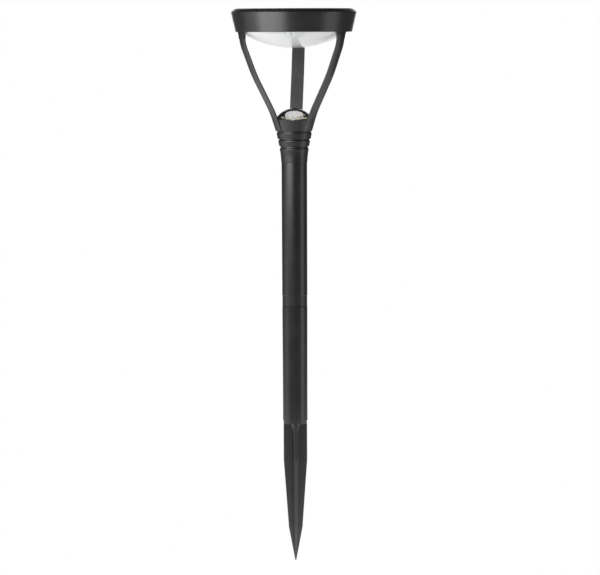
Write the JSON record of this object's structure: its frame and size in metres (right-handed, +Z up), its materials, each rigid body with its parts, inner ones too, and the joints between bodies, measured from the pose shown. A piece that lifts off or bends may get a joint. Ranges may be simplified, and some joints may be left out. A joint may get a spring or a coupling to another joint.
{
  "type": "solar garden light",
  "caption": "Solar garden light: round panel head with a white dome below, on flat arms over a lit clear lens, with a push-together pole and finned ground spike.",
  "frame": {"origin": "on the pole's axis at ground level, where the underside of the spike's flange rests on the soil", "axes": "+Z up along the pole, +Y towards the rear arm, -Y towards the power button at the front"},
  "size_m": [0.163, 0.163, 0.7196],
  "materials": {
    "black_plastic": "satin black moulded plastic",
    "white_plastic": "glossy white moulded plastic",
    "clear_plastic": "clear, polished",
    "panel_glass": "clear, flat",
    "rubber": "matte black",
    "black_board": "black solder mask",
    "green_board": "green solder mask",
    "white_board": "white laminate",
    "led_yellow": "yellow phosphor",
    "screw_steel": "zinc plated",
    "nickel": "nickel plated",
    "red_wire": "insulated wire",
    "black_wire": "insulated wire",
    "solar_cell": "dark blue silicon",
    "silver_ribbon": "tinned ribbon",
    "battery_wrap": "shrink sleeve",
    "dark_component": "moulded"
  },
  "bodies": {
    "spike": {"ground_spike": "black_plastic"},
    "lower_pole": {"lower_pole": "black_plastic"},
    "coupler": {"pole_coupler": "black_plastic"},
    "upper_pole": {"upper_pole": "black_plastic"},
    "neck_seal": {"neck_o_ring": "rubber"},
    "head": {"arm_foot_screws": "screw_steel", "arm_left": "black_plastic", "arm_rear": "black_plastic", "arm_right": "black_plastic", "arm_top_screws": "screw_steel", "battery": "battery_wrap", "battery_minus_spring": "nickel", "battery_plus_contact": "nickel", "board_components": "dark_component", "cable_cover": "black_plastic", "cell_ribbons": "silver_ribbon", "centre_cap": "white_plastic", "clear_lens": "clear_plastic", "component_tray": "black_plastic", "control_board": "green_board", "control_board_screws": "screw_steel", "dome_screws": "screw_steel", "head_rim": "black_plastic", "led_board": "black_board", "led_board_screws": "screw_steel", "led_chips": "led_yellow", "led_lead_black": "black_wire", "led_lead_red": "red_wire", "lens_gasket": "rubber", "neck_cup": "black_plastic", "panel_gasket": "rubber", "panel_glass": "panel_glass", "panel_leads": "red_wire", "power_switch": "dark_component", "reflector_dome": "white_plastic", "solar_board": "white_board", "solar_cells": "solar_cell", "switch_board": "green_board", "switch_leads": "black_wire", "switch_screws": "screw_steel", "tray_screws": "screw_steel"},
    "button": {"power_button": "white_plastic"}
  },
  "joints": [
    {"name": "lower_pole_pull", "type": "slide", "parent": "spike", "child": "lower_pole", "axis": [0, 0, 1], "range_m": [0, 0.045]},
    {"name": "coupler_pull", "type": "slide", "parent": "lower_pole", "child": "coupler", "axis": [0, 0, 1], "range_m": [0, 0.045]},
    {"name": "upper_pole_pull", "type": "slide", "parent": "coupler", "child": "upper_pole", "axis": [0, 0, 1], "range_m": [0, 0.045]},
    {"name": "head_pull", "type": "slide", "parent": "upper_pole", "child": "neck_seal", "axis": [0, 0, 1], "range_m": [0, 0.045]},
    {"name": "head_turn", "type": "hinge", "parent": "neck_seal", "child": "head", "pos_m": [0, 0, 0.3147], "axis": [0, 0, 1], "continuous": true},
    {"name": "power_button_press", "type": "slide", "parent": "head", "child": "button", "axis": [0, 0.5054, 0.8629], "range_m": [0, 0.0012], "stiffness_N_per_m": 600, "springref_m": -0.0008}
  ]
}
